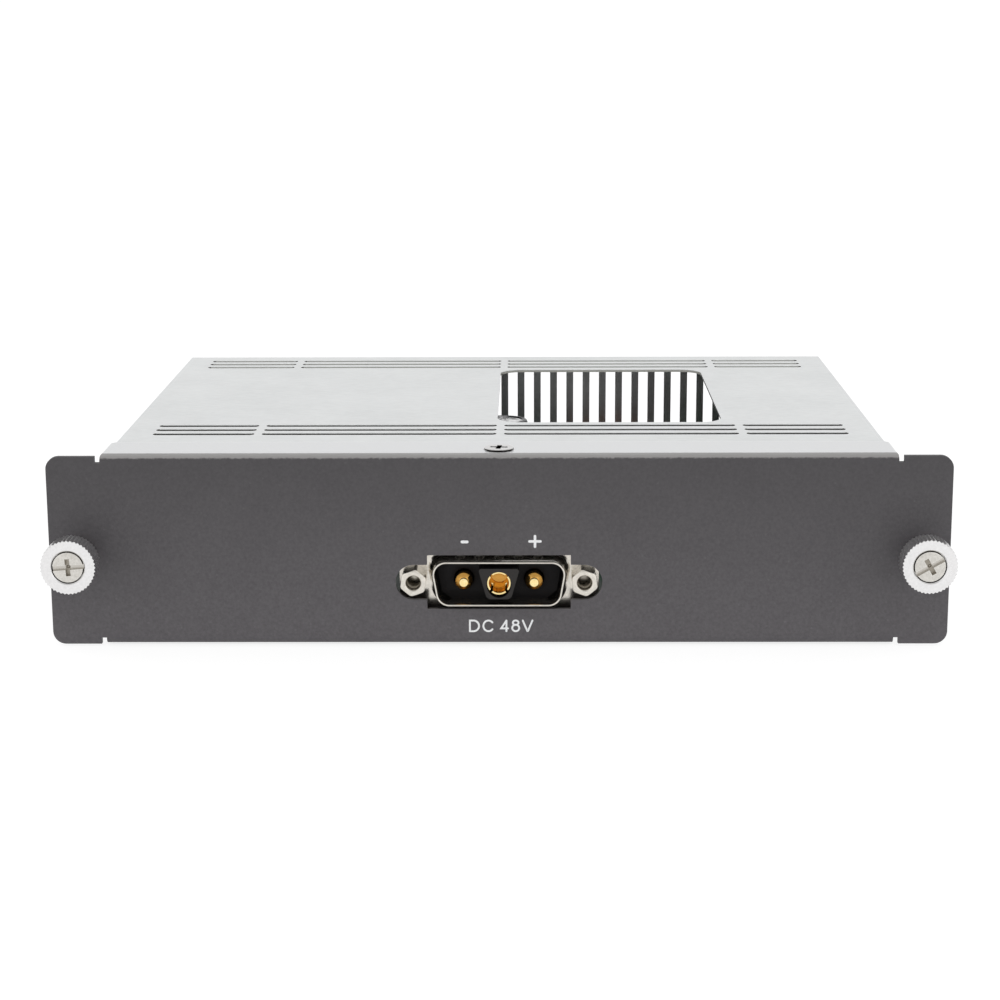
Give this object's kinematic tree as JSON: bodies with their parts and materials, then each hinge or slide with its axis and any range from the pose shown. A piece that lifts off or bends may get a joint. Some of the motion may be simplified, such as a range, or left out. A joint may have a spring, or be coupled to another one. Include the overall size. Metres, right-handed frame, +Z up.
{
  "type": "dc power supply module",
  "caption": "Slide-in power module: dark folded front panel with captive thumbscrews, a three-contact inlet and a vented sheet-metal case that holds a converter board.",
  "frame": {"origin": "on the support surface, below the middle of the overall box", "axes": "+X along the front panel to its right seen from the front, +Y from the front panel to the rear, +Z up"},
  "size_m": [0.175, 0.142, 0.0375],
  "materials": {
    "painted_steel": "dark grey leather-grain paint",
    "zinc_steel": "bare zinc-plated sheet",
    "nickel": "satin nickel plate",
    "gold": "gold plate",
    "black_plastic": "moulded",
    "bright_aluminium": "turned and knurled",
    "spring_steel": "bright wire and strip",
    "board": "green lacquer",
    "capacitor_sleeve": "shrunk sleeve",
    "ferrite": "ground ferrite",
    "copper": "lacquered winding",
    "ceramic": "glazed",
    "tin": "tin plate",
    "sink_aluminium": "black anodised"
  },
  "bodies": {
    "chassis": {"front_panel": "painted_steel", "top_cover": "zinc_steel", "base_tray": "zinc_steel", "flange_screws": "nickel", "circuit_board": "board", "board_standoffs": "nickel", "inlet_shell": "nickel", "inlet_insulator": "black_plastic", "negative_pin": "gold", "positive_pin": "gold", "ring_contact": "gold", "jack_screws": "nickel", "inlet_brackets": "tin", "left_spring": "spring_steel", "right_spring": "spring_steel", "input_capacitors": "capacitor_sleeve", "output_capacitors": "capacitor_sleeve", "transformer_core": "ferrite", "transformer_coil": "copper", "filter_choke_core": "ferrite", "filter_choke_coils": "copper", "output_choke": "ferrite", "fuse_body": "ceramic", "fuse_caps": "tin", "fuse_clips": "tin", "heat_sink": "sink_aluminium", "power_transistors": "black_plastic", "transistor_clamp": "spring_steel", "control_chips": "black_plastic", "output_plug": "black_plastic", "output_blades": "gold"},
    "left_slide": {"left_clip": "spring_steel"},
    "left_turn": {"left_knob": "bright_aluminium", "left_captive_screw": "nickel"},
    "right_slide": {"right_clip": "spring_steel"},
    "right_turn": {"right_knob": "bright_aluminium", "right_captive_screw": "nickel"}
  },
  "joints": [
    {"name": "left_push", "type": "slide", "parent": "chassis", "child": "left_slide", "axis": [0, 1, 0], "range_m": [0, 0.005], "stiffness_N_per_m": 600, "springref_m": -0.003, "deforming": ["left_spring"]},
    {"name": "left_screw_turn", "type": "hinge", "parent": "left_slide", "child": "left_turn", "pos_m": [-0.0814, -0.0685, 0.01875], "axis": [0, 1, 0], "continuous": true},
    {"name": "right_push", "type": "slide", "parent": "chassis", "child": "right_slide", "axis": [0, 1, 0], "range_m": [0, 0.005], "stiffness_N_per_m": 600, "springref_m": -0.003, "deforming": ["right_spring"]},
    {"name": "right_screw_turn", "type": "hinge", "parent": "right_slide", "child": "right_turn", "pos_m": [0.0814, -0.0685, 0.01875], "axis": [0, 1, 0], "continuous": true}
  ]
}
